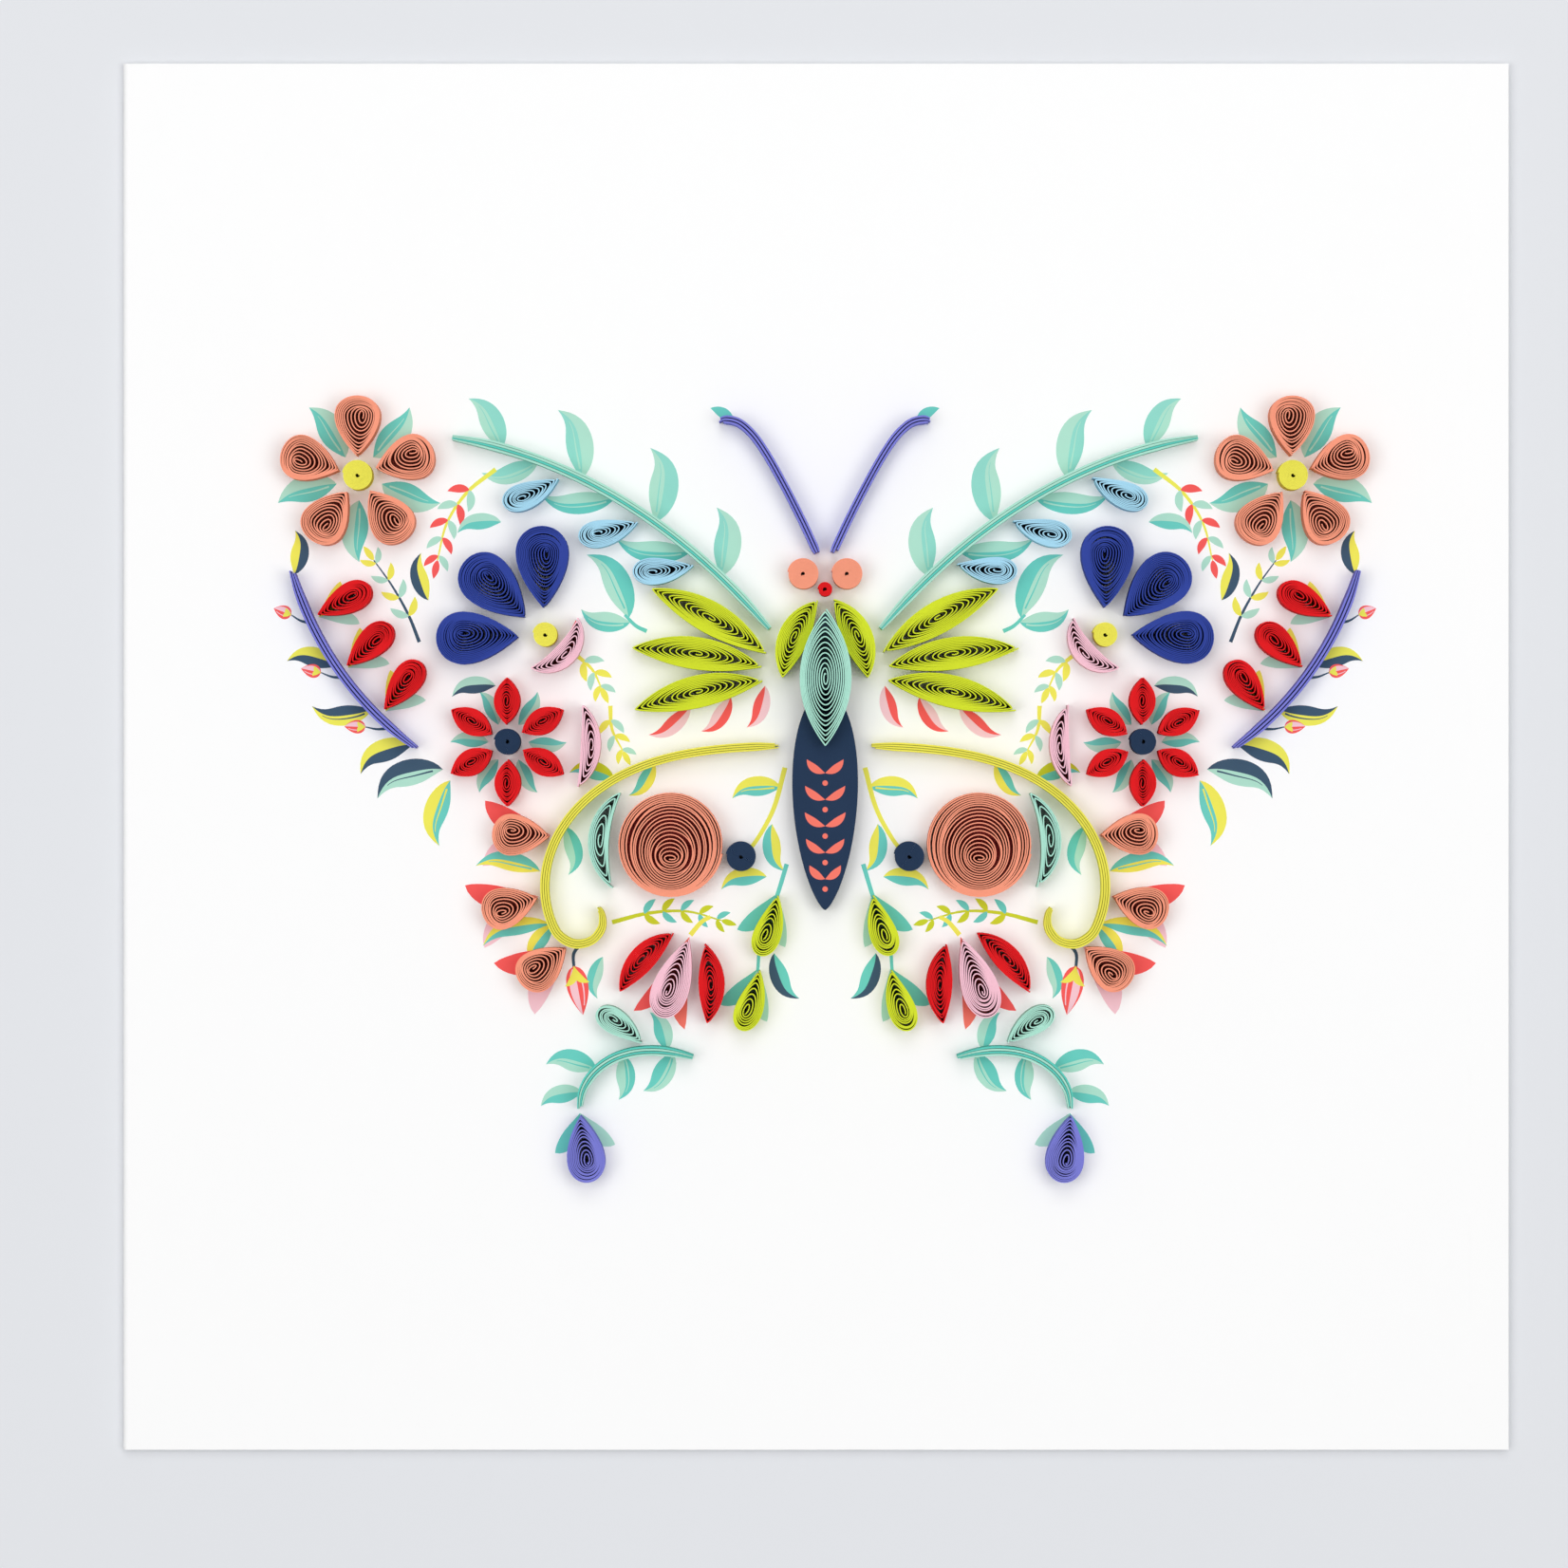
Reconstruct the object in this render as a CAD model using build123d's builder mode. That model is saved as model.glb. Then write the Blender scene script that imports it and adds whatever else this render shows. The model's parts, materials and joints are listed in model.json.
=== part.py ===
# Quilled paper butterfly on a folded greeting card, lying flat with the quilling up.
# Every coil is one narrow strip of paper rolled up, pinched to a form and glued on its edge.
# Millimetres, +Z up. The origin is under the middle of the card.
import os
from math import atan2, cos, degrees, hypot, log, pi, radians, sin

from build123d import *

# The card: one sheet, folded once at its left edge
card_side = 152.4
card_stock = 0.4
leaf_gap = 0.5
card_top = 2 * card_stock + leaf_gap
fold_radius = card_top / 2

# Paper strips stand on edge on the card
strip_height = 3.0
stem_width = 1.1
vine_width = 1.0
seat_gap = 0.3

# The butterfly's own axis runs along Y, a little right of the middle of the card
axis_x = 1.0
figure = Plane(origin=(axis_x, 0, card_top))
raised_figure = figure.offset(strip_height)
mirror_plane = Plane.YZ.offset(axis_x)

# Ends of a coil: 1 is pinched to a point, 0.5 is left round, 0.7 is in between
marquise = (1, 1)
teardrop = (1, 0.5)
round_coil = (0.5, 0.5)
blunt_oval = (0.7, 0.5)

# Windings, as shares of the way from a coil's rim to its core
rim_share = 0.17
core_share = 0.05
gap_ratio = 0.45
pinhole_share = 0.3


def widest(form):
    return form[0] / (form[0] + form[1])


def rim_shares(form, corners):
    """Rim of a straight coil of unit length and unit width, as (along, across) shares."""
    start, finish = form
    peak = widest(form) ** start * (1 - widest(form)) ** finish
    half = corners // 2
    shares = []
    for k in range(half + 1):
        if start == finish == 1:
            along = k / half
        elif start == 1:
            along = sin(pi / 2 * k / half)
        else:
            along = (1 - cos(pi * k / half)) / 2
        shares.append((along, along**start * (1 - along) ** finish / peak / 2))
    return shares + [(along, -across) for along, across in shares[-2:0:-1]]


def bend_over(along, across, length, width, bend):
    """Point of a coil whose middle line turns by bend degrees, with its chord along X."""
    if not bend:
        return length * along, width * across
    turn = radians(bend)
    radius = length / turn
    heading = turn * (along - 0.5)
    x = radius * (sin(heading) + sin(turn / 2)) - width * across * sin(heading)
    y = radius * (cos(turn / 2) - cos(heading)) + width * across * cos(heading)
    return x, y


class Coil(BasePartObject):
    """A loosely rolled strip pinched to a form: its packed rim, and the spiral gap between
    its inner windings. It starts at the origin and points along X."""

    def __init__(
        self, form, length, width, bend=0, corners=8, turns=1.1, rotation=(0, 0, 0), mode=Mode.ADD
    ):
        middle = widest(form)
        shares = rim_shares(form, corners)

        def point(step, scale):
            along, across = shares[step % corners]
            return bend_over(middle + (along - middle) * scale, across * scale, length, width, bend)

        pitch = (1 - rim_share - core_share) / (turns + gap_ratio)
        steps = round(turns * corners)
        outer = [1 - rim_share - pitch * k / corners for k in range(steps + 1)]
        rim = [point(k, 1) for k in range(corners)]
        gap = [point(k, outer[k]) for k in range(steps + 1)]
        gap += [point(k, outer[k] - gap_ratio * pitch) for k in range(steps, 0, -1)]
        with BuildPart() as roll:
            with BuildSketch():
                with BuildLine():
                    Polyline(*rim, close=True)
                make_face()
                with BuildLine():
                    Polyline(*gap, close=True)
                make_face(mode=Mode.SUBTRACT)
            extrude(amount=strip_height)
        super().__init__(part=roll.part, rotation=rotation, align=None, mode=mode)


class Bead(BasePartObject):
    """A tightly rolled strip: a plain disc with the pin-hole left by the rolling tool."""

    def __init__(self, radius, corners=10, rotation=(0, 0, 0), mode=Mode.ADD):
        with BuildPart() as disc:
            with BuildSketch():
                RegularPolygon(radius, corners)
                RegularPolygon(radius * pinhole_share, 4, mode=Mode.SUBTRACT)
            extrude(amount=strip_height)
        super().__init__(part=disc.part, rotation=rotation, align=None, mode=mode)


class Strip(BasePartObject):
    """Several plies of strip glued together and set on edge along a line of points."""

    def __init__(self, points, width, rotation=(0, 0, 0), mode=Mode.ADD):
        left = []
        right = []
        for k, (x, y) in enumerate(points):
            before = points[max(k - 1, 0)]
            after = points[min(k + 1, len(points) - 1)]
            run = hypot(after[0] - before[0], after[1] - before[1])
            across_x = (before[1] - after[1]) / run * width / 2
            across_y = (after[0] - before[0]) / run * width / 2
            left.append((x + across_x, y + across_y))
            right.append((x - across_x, y - across_y))
        with BuildPart() as plies:
            with BuildSketch():
                with BuildLine():
                    Polyline(*left, *reversed(right), close=True)
                make_face()
            extrude(amount=strip_height)
        super().__init__(part=plies.part, rotation=rotation, align=None, mode=mode)


def route(start, length, heading_at, points, crowding=1.0):
    """Line of a bent strip. Its heading, in degrees, follows from the distance along it, and its
    points crowd towards its far end."""
    fine = 12
    x, y = start
    line = [start]
    distance = 0.0
    for k in range(points):
        target = length * (1 - (1 - (k + 1) / points) ** crowding)
        step = (target - distance) / fine
        for j in range(fine):
            angle = radians(heading_at(distance + step * (j + 0.5)))
            x += step * cos(angle)
            y += step * sin(angle)
        distance = target
        line.append((x, y))
    return line


def centred(line, middle):
    """The line moved so that its middle point lies there."""
    x, y = line[len(line) // 2]
    return [(middle[0] + px - x, middle[1] + py - y) for px, py in line]


def beside(line, distance, away):
    """Point beside a line, at a distance along it, and the line's heading there. Away is how
    far it lies to the left, or to the right where it is negative."""
    for (x0, y0), (x1, y1) in zip(line, line[1:]):
        run = hypot(x1 - x0, y1 - y0)
        if distance <= run:
            break
        distance -= run
    else:
        distance += run
    part = distance / run
    x = x0 + (x1 - x0) * part - away * (y1 - y0) / run
    y = y0 + (y1 - y0) * part + away * (x1 - x0) / run
    return x, y, degrees(atan2(y1 - y0, x1 - x0))


def seat_beside(line, distance, side, spread, width):
    """Where a coil meets a stem of that width, spread degrees off its direction. Side is 1 on
    its left and -1 on its right."""
    x, y, heading = beside(line, distance, side * (width / 2 + seat_gap))
    return Location((x, y, 0), (0, 0, heading + side * spread))


def seat_around(radius, start, finish):
    """Where a crescent of that radius starts when it embraces the origin."""
    middle = (start + finish) / 2
    return Location((radius * cos(radians(start)), radius * sin(radians(start)), 0), (0, 0, middle + 90))


def seat(x, y, angle):
    return Location((x, y, 0), (0, 0, angle))


os.makedirs("parts", exist_ok=True)


def save(node, name):
    node.part.label = name
    export_step(node.part, f"parts/{name}.step")


def save_pair(node, name):
    save(node, f"right_{name}")
    with BuildPart() as twin:
        mirror(node.part, about=mirror_plane)
    save(twin, f"left_{name}")


# The folded card
with BuildPart() as card:
    with BuildSketch(Plane.XZ):
        with BuildLine():
            bottom = Line((card_side / 2, 0), (fold_radius - card_side / 2, 0))
            outer_fold = TangentArc(
                bottom @ 1, (fold_radius - card_side / 2, card_top), tangent=bottom % 1
            )
            top = Line(outer_fold @ 1, (card_side / 2, card_top))
            Line(top @ 1, (card_side / 2, card_top - card_stock))
            under = Line(
                (card_side / 2, card_top - card_stock), (fold_radius - card_side / 2, card_top - card_stock)
            )
            inner_fold = TangentArc(
                under @ 1, (fold_radius - card_side / 2, card_stock), tangent=under % 1
            )
            inside = Line(inner_fold @ 1, (card_side / 2, card_stock))
            Line(inside @ 1, bottom @ 0)
        make_face()
    extrude(amount=card_side / 2, both=True)
save(card, "card")

# Body: abdomen box, thorax coil on top of it, head and antennae
abdomen_length = 24.0
abdomen_width = 7.2
abdomen_top_y = 7.2
abdomen_tail_y = abdomen_top_y - abdomen_length
cap_stock = 0.4
wall_stock = 0.5
abdomen_corners = 16
abdomen_shares = rim_shares(blunt_oval, abdomen_corners)
abdomen_rim = [
    (abdomen_width * across, abdomen_tail_y + abdomen_length * along) for along, across in abdomen_shares
]

with BuildPart(figure) as abdomen_wall:
    with BuildSketch(figure):
        with BuildLine():
            Polyline(*abdomen_rim, close=True)
        make_face()
        offset(amount=-wall_stock, kind=Kind.INTERSECTION, mode=Mode.SUBTRACT)
    extrude(amount=strip_height - cap_stock)
save(abdomen_wall, "abdomen_wall")

with BuildPart() as abdomen_cap:
    with BuildSketch(raised_figure.offset(-cap_stock)):
        with BuildLine():
            Polyline(*abdomen_rim, close=True)
        make_face()
    extrude(amount=cap_stock)
save(abdomen_cap, "abdomen_cap")

thorax_length = 15.4
thorax_width = 5.8
thorax_foot_y = 0.9
thorax_top_y = thorax_foot_y + thorax_length
with BuildPart(raised_figure) as thorax:
    with Locations(seat(0, thorax_foot_y, 90)):
        Coil(marquise, thorax_length, thorax_width, corners=12, turns=2.25)
save(thorax, "thorax")

lobe_length = 9.9
lobe_width = 3.5
lobe_x = 0.75
lobe_top_y = thorax_top_y + 1.0
lobe_heading = -66
lobe_bend = -38
with BuildPart(figure) as shoulder_lobe:
    with Locations(seat(lobe_x, lobe_top_y, lobe_heading)):
        Coil(marquise, lobe_length, lobe_width, bend=lobe_bend, corners=10)
save_pair(shoulder_lobe, "shoulder_lobe")

eye_radius = 1.75
eye_x = 2.4
eye_rise = 2.7
eye_y = lobe_top_y + eye_rise
with BuildPart(figure) as eye:
    with Locations(seat(eye_x, eye_y, 0)):
        Bead(eye_radius, corners=12)
save_pair(eye, "eye")

head_radius = 0.85
head_rise = 1.0
head_y = lobe_top_y + head_rise
with BuildPart(figure) as head:
    with Locations(seat(0, head_y, 0)):
        Bead(head_radius, corners=8)
save(head, "head")

antenna_foot = (0.7, eye_y + eye_radius + 0.2)
antenna_heading = 66
antenna_length = 19.6
antenna_bow = -9
antenna_hook = -95
antenna_hook_power = 9


def antenna_heading_at(distance):
    share = distance / antenna_length
    return antenna_heading + antenna_bow * share + antenna_hook * share**antenna_hook_power


antenna_line = route(antenna_foot, antenna_length, antenna_heading_at, points=8, crowding=1.5)
with BuildPart(figure) as antenna:
    Strip(antenna_line, vine_width)
save_pair(antenna, "antenna")

# Forewing
leading_drop = 3.7
leading_foot = (5.7, lobe_top_y - leading_drop)
leading_heading = 50
leading_length = 42.6
leading_bow = -30
leading_droop = -12


def leading_heading_at(distance):
    share = distance / leading_length
    return leading_heading + leading_bow * share + leading_droop * share**2


leading_line = route(leading_foot, leading_length, leading_heading_at, points=9)
with BuildPart(figure) as leading_stem:
    Strip(leading_line, stem_width)
save_pair(leading_stem, "leading_stem")

laurel_length = 7.0
laurel_width = 3.1
laurel_distances = (11.4, 19.3, 29.4)
laurel_spread = 46
laurel_bend = 24
laurel_seats = [
    seat_beside(leading_line, distance, -1, laurel_spread, stem_width) for distance in laurel_distances
]
with BuildPart(figure) as laurel:
    with Locations(laurel_seats):
        Coil(teardrop, laurel_length, laurel_width, bend=laurel_bend)
save_pair(laurel, "laurel")

blossom_centre = (51.2, 30.8)
blossom_heart_radius = 1.7
blossom_petal_length = 6.8
blossom_petal_width = 5.1
blossom_petals = 5
with BuildPart(figure) as blossom:
    with Locations(blossom_centre):
        with PolarLocations(blossom_heart_radius + seat_gap, blossom_petals, start_angle=90):
            Coil(teardrop, blossom_petal_length, blossom_petal_width, corners=10)
save_pair(blossom, "blossom")

with BuildPart(figure) as blossom_heart:
    with Locations(blossom_centre):
        Bead(blossom_heart_radius)
save_pair(blossom_heart, "blossom_heart")

fan_distance = 21.4
fan_drop = 16.9
fan_centre = beside(leading_line, fan_distance, -fan_drop)[:2]
fan_heading = 43
fan_spread = 45
fan_bead_radius = 1.4
fan_petal_length = 9.2
fan_petal_width = 5.9
fan_petal_gap = 1.4
first_petal = fan_heading - fan_spread
with BuildPart(figure) as blue_fan:
    with Locations(fan_centre):
        with PolarLocations(fan_bead_radius + fan_petal_gap, 3, first_petal, 2 * fan_spread, endpoint=True):
            Coil(teardrop, fan_petal_length, fan_petal_width, corners=10, turns=1.5)
save_pair(blue_fan, "blue_fan")

with BuildPart(figure) as fan_bead:
    with Locations(fan_centre):
        Bead(fan_bead_radius)
save_pair(fan_bead, "fan_bead")

cup_width = 2.6
cup_radius = 4.9
cup_wrap = 104
cup_start = fan_heading + 180 - cup_wrap / 2
cup_offset = cup_radius - cup_width / 2 - seat_gap - fan_bead_radius
with BuildPart(figure) as fan_cup:
    with Locations(fan_centre):
        with PolarLocations(cup_offset, 1, fan_heading, rotate=False):
            with Locations(seat_around(cup_radius, cup_start, cup_start + cup_wrap)):
                Coil(marquise, cup_radius * radians(cup_wrap), cup_width, bend=cup_wrap, corners=10)
save_pair(fan_cup, "fan_cup")

feather_drop = 8.0
feather_centre = (2.7, lobe_top_y - feather_drop)
feather_reach = 4.0
feather_length = 15.0
feather_width = 3.7
feather_heading = 8
feather_spread = 21
feather_bend = -14
first_feather = feather_heading - feather_spread
with BuildPart(figure) as lime_feathers:
    with Locations(feather_centre):
        with PolarLocations(feather_reach, 3, first_feather, 2 * feather_spread, endpoint=True):
            Coil(marquise, feather_length, feather_width, bend=feather_bend)
save_pair(lime_feathers, "lime_feathers")

star_centre = (34.8, 1.6)
star_heart_radius = 1.5
star_petals = 6
star_petal_length = 5.4
star_petal_width = 3.0
star_reach = star_heart_radius + seat_gap
with BuildPart(figure) as star:
    with Locations(star_centre):
        with PolarLocations(star_reach, star_petals, start_angle=30):
            Coil(marquise, star_petal_length, star_petal_width, corners=6, turns=1.0)
save_pair(star, "star")

with BuildPart(figure) as star_heart:
    with Locations(star_centre):
        Bead(star_heart_radius)
save_pair(star_heart, "star_heart")

star_moon_width = 2.3
star_moon_gap = 0.85
star_moon_wrap = 62
star_moon_radius = star_reach + star_petal_length + star_moon_gap + star_moon_width / 2
star_moon_length = star_moon_radius * radians(star_moon_wrap)
star_moon_middle = 183
star_moon_start = star_moon_middle - star_moon_wrap / 2
with BuildPart(figure) as star_moon:
    with Locations(star_centre):
        with Locations(seat_around(star_moon_radius, star_moon_start, star_moon_start + star_moon_wrap)):
            Coil(marquise, star_moon_length, star_moon_width, bend=star_moon_wrap, corners=10)
save_pair(star_moon, "star_moon")

margin_middle = (53.3, 9.5)
margin_heading = -105
margin_length = 25.0
margin_bow = -40


def margin_heading_at(distance):
    return margin_heading + margin_bow * distance / margin_length


margin_line = centred(route((0, 0), margin_length, margin_heading_at, points=8), margin_middle)
with BuildPart(figure) as margin_stem:
    Strip(margin_line, stem_width)
save_pair(margin_stem, "margin_stem")

margin_drop_length = 6.8
margin_drop_width = 3.4
margin_drop_steps = (-6.4, 0.3, 6.8)
margin_spread = 96
margin_drop_seats = [
    seat_beside(margin_line, margin_length / 2 + step, -1, margin_spread, stem_width)
    for step in margin_drop_steps
]
with BuildPart(figure) as margin_drops:
    with Locations(margin_drop_seats):
        Coil(teardrop, margin_drop_length, margin_drop_width)
save_pair(margin_drops, "margin_drops")

# Hindwing
eyespot_centre = (16.9, -9.6)
eyespot_radius = 5.8
with BuildPart(figure) as eyespot:
    with Locations(eyespot_centre):
        with Locations(seat(-eyespot_radius, 0, 0)):
            Coil(round_coil, 2 * eyespot_radius, 2 * eyespot_radius, corners=16, turns=2.5)
save_pair(eyespot, "eyespot")

eyespot_moon_width = 2.4
eyespot_moon_gap = 0.9
eyespot_moon_wrap = 88
eyespot_moon_radius = eyespot_radius + eyespot_moon_gap + eyespot_moon_width / 2
moon_length = eyespot_moon_radius * radians(eyespot_moon_wrap)
moon_middle = 5
moon_start = moon_middle - eyespot_moon_wrap / 2
with BuildPart(figure) as eyespot_moon:
    with Locations(eyespot_centre):
        with Locations(seat_around(eyespot_moon_radius, moon_start, moon_start + eyespot_moon_wrap)):
            Coil(marquise, moon_length, eyespot_moon_width, bend=eyespot_moon_wrap, corners=12)
save_pair(eyespot_moon, "eyespot_moon")

eyespot_bead_radius = 1.7
eyespot_bead_reach = eyespot_radius + seat_gap + eyespot_bead_radius
eyespot_bead_angle = 190
with BuildPart(figure) as eyespot_bead:
    with Locations(eyespot_centre):
        with PolarLocations(eyespot_bead_reach, 1, eyespot_bead_angle):
            Bead(eyespot_bead_radius)
save_pair(eyespot_bead, "eyespot_bead")

# The vine bows ever more, and what is left of the strip curls into a scroll that tightens
vine_foot = (4.7, 1.2)
vine_heading = -2
vine_length = 47.6
vine_bow_length = 38.5
vine_bow = -115
scroll_radius = 3.1
scroll_tightening = 0.09


def vine_heading_at(distance):
    if distance < vine_bow_length:
        return vine_heading + vine_bow * (distance / vine_bow_length) ** 2
    scroll = scroll_radius - scroll_tightening * (distance - vine_bow_length)
    curl = log(scroll_radius / scroll) / scroll_tightening
    return vine_heading + vine_bow - degrees(curl)


vine_line = route(vine_foot, vine_length, vine_heading_at, points=19, crowding=1.3)
with BuildPart(figure) as vine:
    Strip(vine_line, vine_width)
save_pair(vine, "vine")

margin_petal_length = 6.4
margin_petal_width = 4.7
margin_petal_spreads = ((28.2, 66), (34.6, 84), (40.6, 112))
margin_petal_seats = [
    seat_beside(vine_line, distance, 1, spread, vine_width) for distance, spread in margin_petal_spreads
]
with BuildPart(figure) as margin_petals:
    with Locations(margin_petal_seats):
        Coil(teardrop, margin_petal_length, margin_petal_width)
save_pair(margin_petals, "margin_petals")

tulip_foot = (14.9, -19.8)
tulip_heading = -70
tulip_heart_length = 9.4
tulip_heart_width = 4.2
with BuildPart(figure) as tulip_heart:
    with Locations(seat(*tulip_foot, tulip_heading)):
        Coil(teardrop, tulip_heart_length, tulip_heart_width)
save_pair(tulip_heart, "tulip_heart")

tulip_side_length = 9.2
tulip_side_width = 3.0
tulip_side_out = 1.7
tulip_side_splay = 22
tulip_side_bend = 34
with BuildPart(figure) as tulip_sides:
    with Locations(seat(*tulip_foot, tulip_heading)):
        with Locations(seat(0, -tulip_side_out, -tulip_side_splay)):
            Coil(marquise, tulip_side_length, tulip_side_width, bend=tulip_side_bend)
        with Locations(seat(0, tulip_side_out, tulip_side_splay)):
            Coil(marquise, tulip_side_length, tulip_side_width, bend=-tulip_side_bend)
save_pair(tulip_sides, "tulip_sides")

inner_drop_length = 7.2
inner_drop_width = 3.2
inner_drop_heading = -72
inner_drop_bend = 20
inner_drop_seats = (seat(5.2, -15.0, inner_drop_heading), seat(7.2, -23.2, inner_drop_heading))
with BuildPart(figure) as inner_drops:
    with Locations(*inner_drop_seats):
        Coil(teardrop, inner_drop_length, inner_drop_width, bend=inner_drop_bend)
save_pair(inner_drops, "inner_drops")

tail_foot = (14.2, -33.0)
tail_heading = 16
tail_length = 16.5
tail_bow = -30
tail_droop = -80


def tail_heading_at(distance):
    share = distance / tail_length
    return tail_heading + tail_bow * share + tail_droop * share**2


tail_line = route(tail_foot, tail_length, tail_heading_at, points=7)
with BuildPart(figure) as tail_stem:
    Strip(tail_line, stem_width)
save_pair(tail_stem, "tail_stem")

tail_drop_length = 7.6
tail_drop_width = 4.3
tail_drop_heading = -98
tail_end_x, tail_end_y = tail_line[-1]
with BuildPart(figure) as tail_drop:
    with Locations(seat(tail_end_x, tail_end_y - seat_gap, tail_drop_heading)):
        Coil(teardrop, tail_drop_length, tail_drop_width)
save_pair(tail_drop, "tail_drop")

tail_leaf_length = 6.4
tail_leaf_width = 2.9
tail_leaf_distance = 5.7
tail_leaf_spread = 40
tail_leaf_bend = -20
with BuildPart(figure) as tail_leaf:
    with Locations(seat_beside(tail_line, tail_leaf_distance, 1, tail_leaf_spread, stem_width)):
        Coil(teardrop, tail_leaf_length, tail_leaf_width, bend=tail_leaf_bend)
save_pair(tail_leaf, "tail_leaf")
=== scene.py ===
# %% [markdown]
# # A quilled paper butterfly on a folded card
#
# Quilling is the craft of rolling narrow strips of coloured paper into coils, pinching each coil to
# a form and gluing it down on its edge. From afar a coil looks like one solid petal. Close up it is
# one strip wound many times: bright where its windings pack together, and dark where they part.
#
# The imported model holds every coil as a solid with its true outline. It could be painted with dark
# rings, but a painted ring has no depth and looks wrong from the side. So this lesson winds every
# strip for real inside the outline that the model gives, and lets the light do the rest.

import json
from math import asin, atan2, cos, degrees, hypot, pi, radians, sin
from types import SimpleNamespace

import bmesh
import bpy
import numpy as np
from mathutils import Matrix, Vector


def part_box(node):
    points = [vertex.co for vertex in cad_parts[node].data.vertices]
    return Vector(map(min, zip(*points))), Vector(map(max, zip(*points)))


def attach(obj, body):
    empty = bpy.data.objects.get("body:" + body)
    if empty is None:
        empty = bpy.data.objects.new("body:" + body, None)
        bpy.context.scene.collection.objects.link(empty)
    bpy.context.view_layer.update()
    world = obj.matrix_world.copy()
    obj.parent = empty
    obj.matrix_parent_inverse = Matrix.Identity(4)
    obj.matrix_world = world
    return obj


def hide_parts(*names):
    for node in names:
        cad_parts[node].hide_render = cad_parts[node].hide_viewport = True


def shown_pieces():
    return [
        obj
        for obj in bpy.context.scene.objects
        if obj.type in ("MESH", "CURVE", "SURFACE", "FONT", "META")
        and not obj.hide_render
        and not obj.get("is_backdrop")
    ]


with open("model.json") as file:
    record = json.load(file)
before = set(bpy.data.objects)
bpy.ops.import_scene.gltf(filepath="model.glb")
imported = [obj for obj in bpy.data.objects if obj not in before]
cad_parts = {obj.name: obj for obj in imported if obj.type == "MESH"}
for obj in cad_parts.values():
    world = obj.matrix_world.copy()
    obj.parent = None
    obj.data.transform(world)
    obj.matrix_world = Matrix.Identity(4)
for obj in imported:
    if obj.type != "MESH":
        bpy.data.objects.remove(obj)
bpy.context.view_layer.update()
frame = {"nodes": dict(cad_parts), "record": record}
MM = 0.001
slot_of = {row["node"]: row["material_slot"] for row in frame["record"]["subparts"]}

# %% [markdown]
# ## Reading outlines
#
# Each coil, stem and bead of the model is an upright prism, so the edge of its top says all about
# its place and form. Outlines could be typed in here, but then two files would have to agree. So
# they are read from the mesh: the edge of the top is where an edge has only one top face. Walked in
# the faces' own direction, outer outlines run anticlockwise and holes clockwise.

# %% Outlines of the top faces
WELD = 0.001 * MM


def signed_area(loop):
    x, y = loop[:, 0], loop[:, 1]
    return (x * np.roll(y, -1) - y * np.roll(x, -1)).sum() / 2


def outlines(node):
    """The outer outline of each solid of a node, anticlockwise, in millimetres."""
    shape = bmesh.new()
    shape.from_mesh(frame["nodes"][node].data)
    bmesh.ops.remove_doubles(shape, verts=shape.verts, dist=WELD)
    top = max(corner.co.z for corner in shape.verts) - 2 * WELD
    for face in shape.faces:
        face.tag = all(corner.co.z >= top for corner in face.verts)
    following = {}
    for face in shape.faces:
        for side in face.loops if face.tag else ():
            if sum(near.tag for near in side.edge.link_faces) == 1:
                following[side.vert] = side.link_loop_next.vert
    loops = []
    while following:
        first = next(iter(following))
        walk = [first]
        while (ahead := following.pop(walk[-1])) is not first:
            walk.append(ahead)
        loops.append(np.array([corner.co.xy[:] for corner in walk]) / MM)
    shape.free()
    return [loop for loop in loops if signed_area(loop) > 0]


print("corners of a blossom's petals:", [len(loop) for loop in outlines("right_blossom")])

# %% [markdown]
# Most parts come in pairs, one on each wing. The tables below name a part once, and its nodes are
# looked up here, so every step is one loop over parts.

# %% Nodes of a part
def sides(part):
    """The nodes of a part: one on each side, or a single one in the middle."""
    return [node for node in (part, "left_" + part, "right_" + part) if node in frame["nodes"]]


def heights(node):
    """How high a node starts and ends, in millimetres."""
    low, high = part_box(node)
    return low.z / MM, high.z / MM


axis = (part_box("thorax")[0].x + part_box("thorax")[1].x) / 2 / MM
print(sides("laurel"), sides("thorax"), "with their axis at", round(axis, 2), "mm")

# %% [markdown]
# ## The form of a pinched coil
#
# A coil that is pinched at one end is a teardrop, at both ends a marquise, and one that is left
# alone is round. One formula covers them: the half width is the distance from one end times the
# distance from the other, each to a power. A power of 1 makes a sharp end, and one half a round one.

# %% Forms
MARQUISE, TEARDROP, ROUND, OVAL = (1, 1), (1, 0.5), (0.5, 0.5), (0.7, 0.5)


def profile(form, along):
    """Half width of a form at a share of its length, as a share of its widest."""
    start, finish = form
    peak_at = start / (start + finish)
    peak = peak_at**start * (1 - peak_at) ** finish
    along = np.clip(along, 0, 1)
    return along**start * (1 - along) ** finish / peak


print("half width along a teardrop:", np.round(profile(TEARDROP, np.linspace(0, 1, 6)), 2))

# %% [markdown]
# A bent coil is a straight one whose middle line follows an arc. The sharpest corner of an outline
# is the coil's start, and the corner half way round is its far end. The middle between two opposite
# corners tells how far it bows. So a strip can be wound in a straight coil and bent afterwards.

# %% Measure a coil from its outline
NEAR = 0.01


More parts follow.
